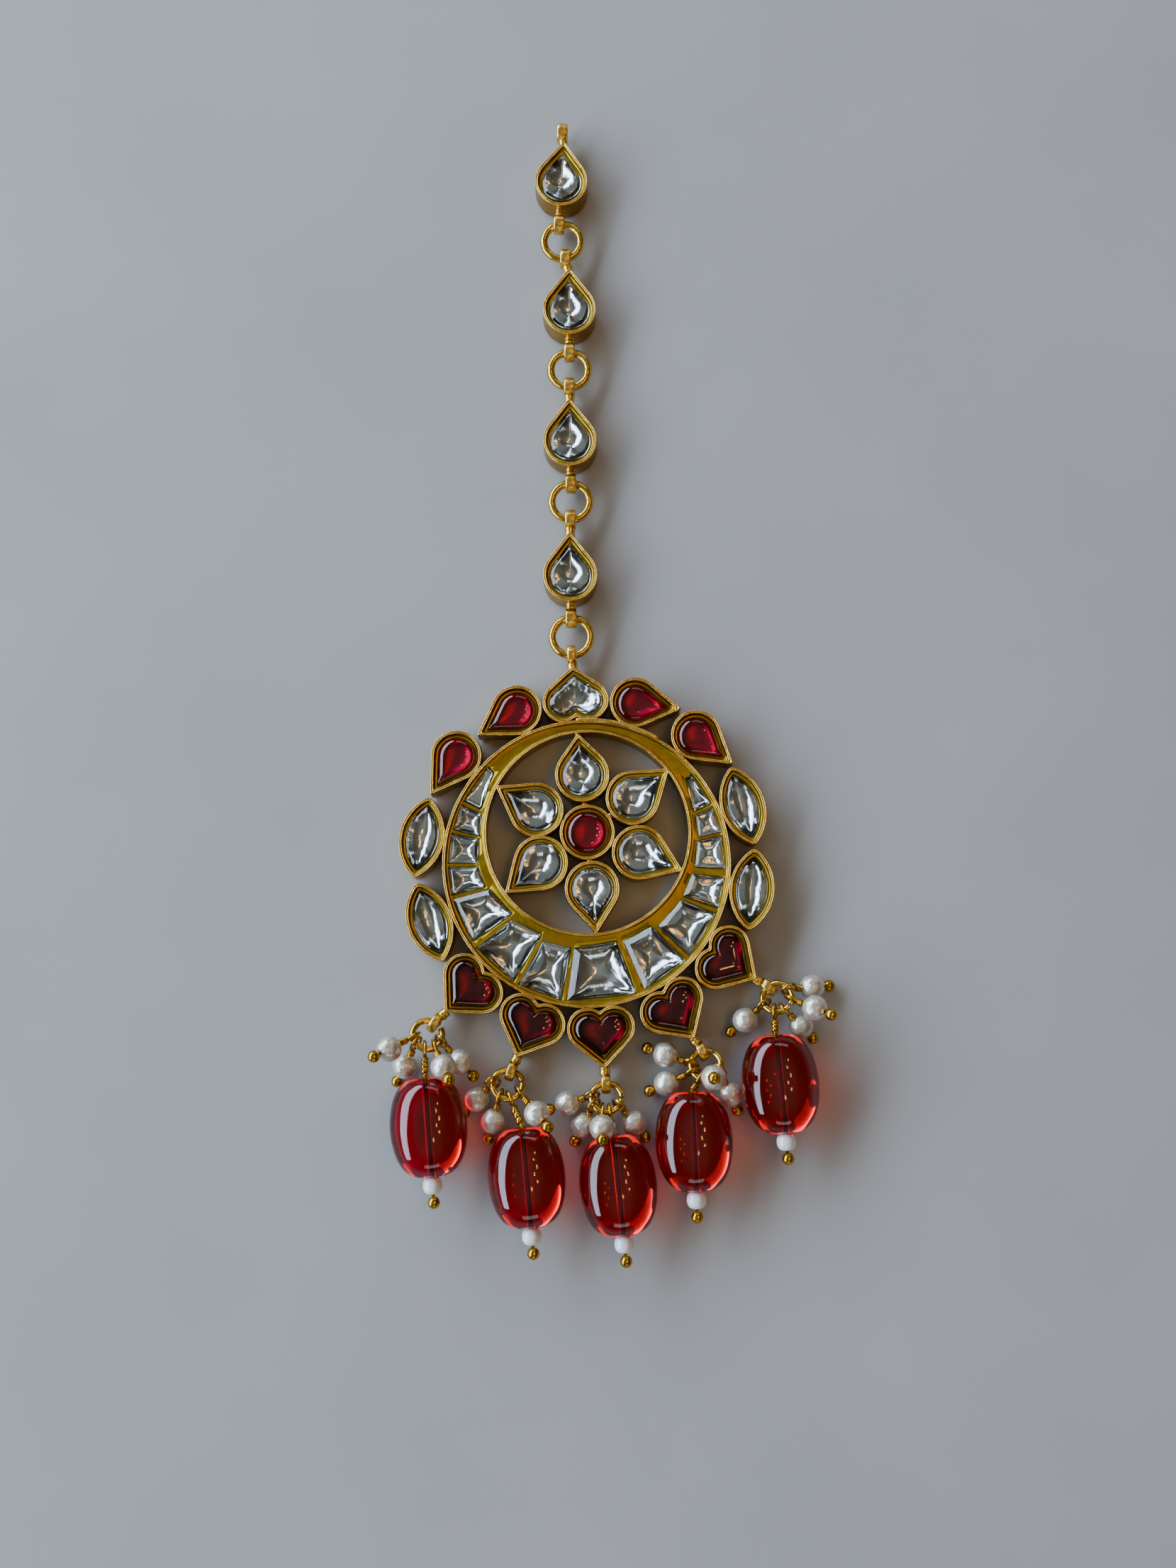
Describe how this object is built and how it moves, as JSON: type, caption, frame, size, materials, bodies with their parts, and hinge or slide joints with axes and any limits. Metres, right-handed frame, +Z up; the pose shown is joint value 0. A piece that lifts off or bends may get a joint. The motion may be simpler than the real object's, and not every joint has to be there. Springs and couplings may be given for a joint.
{
  "type": "head jewel",
  "caption": "Maang tikka in the kundan style: a chain of set teardrop links, a crescent pendant with a stone flower, and glass bead and pearl drops, lying flat",
  "frame": {"origin": "under the middle of the whole jewel, on the surface that it lies on", "axes": "+Y along the chain, away from the drops; +Z up from the surface; +X to the right when the chain points away"},
  "size_m": [0.0528, 0.137, 0.0089],
  "materials": {
    "gold_plate": "gold-plated brass, bright rims, satin beds",
    "clear_glass": "clear cut glass over silver foil",
    "ruby_glass": "transparent red glass, polished",
    "pearl": "pearl lustre; the tip beads white glazed"
  },
  "bodies": {
    "root": {"centre_stone": "ruby_glass", "chain_ring_1": "gold_plate", "chain_ring_2": "gold_plate", "chain_ring_3": "gold_plate", "chain_ring_4": "gold_plate", "chain_setting_1": "gold_plate", "chain_setting_2": "gold_plate", "chain_setting_3": "gold_plate", "chain_setting_4": "gold_plate", "chain_stone_1": "clear_glass", "chain_stone_2": "clear_glass", "chain_stone_3": "clear_glass", "chain_stone_4": "clear_glass", "crescent_stones": "clear_glass", "crown_stone": "clear_glass", "drop_1_bead": "ruby_glass", "drop_1_pearl_pins": "gold_plate", "drop_1_pearls": "pearl", "drop_1_pin": "gold_plate", "drop_1_ring": "gold_plate", "drop_2_bead": "ruby_glass", "drop_2_pearl_pins": "gold_plate", "drop_2_pearls": "pearl", "drop_2_pin": "gold_plate", "drop_2_ring": "gold_plate", "drop_3_bead": "ruby_glass", "drop_3_pearl_pins": "gold_plate", "drop_3_pearls": "pearl", "drop_3_pin": "gold_plate", "drop_3_ring": "gold_plate", "drop_4_bead": "ruby_glass", "drop_4_pearl_pins": "gold_plate", "drop_4_pearls": "pearl", "drop_4_pin": "gold_plate", "drop_4_ring": "gold_plate", "drop_5_bead": "ruby_glass", "drop_5_pearl_pins": "gold_plate", "drop_5_pearls": "pearl", "drop_5_pin": "gold_plate", "drop_5_ring": "gold_plate", "heart_1_stone": "ruby_glass", "heart_2_stone": "ruby_glass", "heart_3_stone": "ruby_glass", "heart_4_stone": "ruby_glass", "heart_5_stone": "ruby_glass", "marquise_left_lower_stone": "clear_glass", "marquise_left_upper_stone": "clear_glass", "marquise_right_lower_stone": "clear_glass", "marquise_right_upper_stone": "clear_glass", "pendant_frame": "gold_plate", "petal_1_stone": "clear_glass", "petal_2_stone": "clear_glass", "petal_3_stone": "clear_glass", "petal_4_stone": "clear_glass", "petal_5_stone": "clear_glass", "petal_6_stone": "clear_glass", "ruby_left_lower_stone": "ruby_glass", "ruby_left_upper_stone": "ruby_glass", "ruby_right_lower_stone": "ruby_glass", "ruby_right_upper_stone": "ruby_glass"}
  },
  "joints": []
}
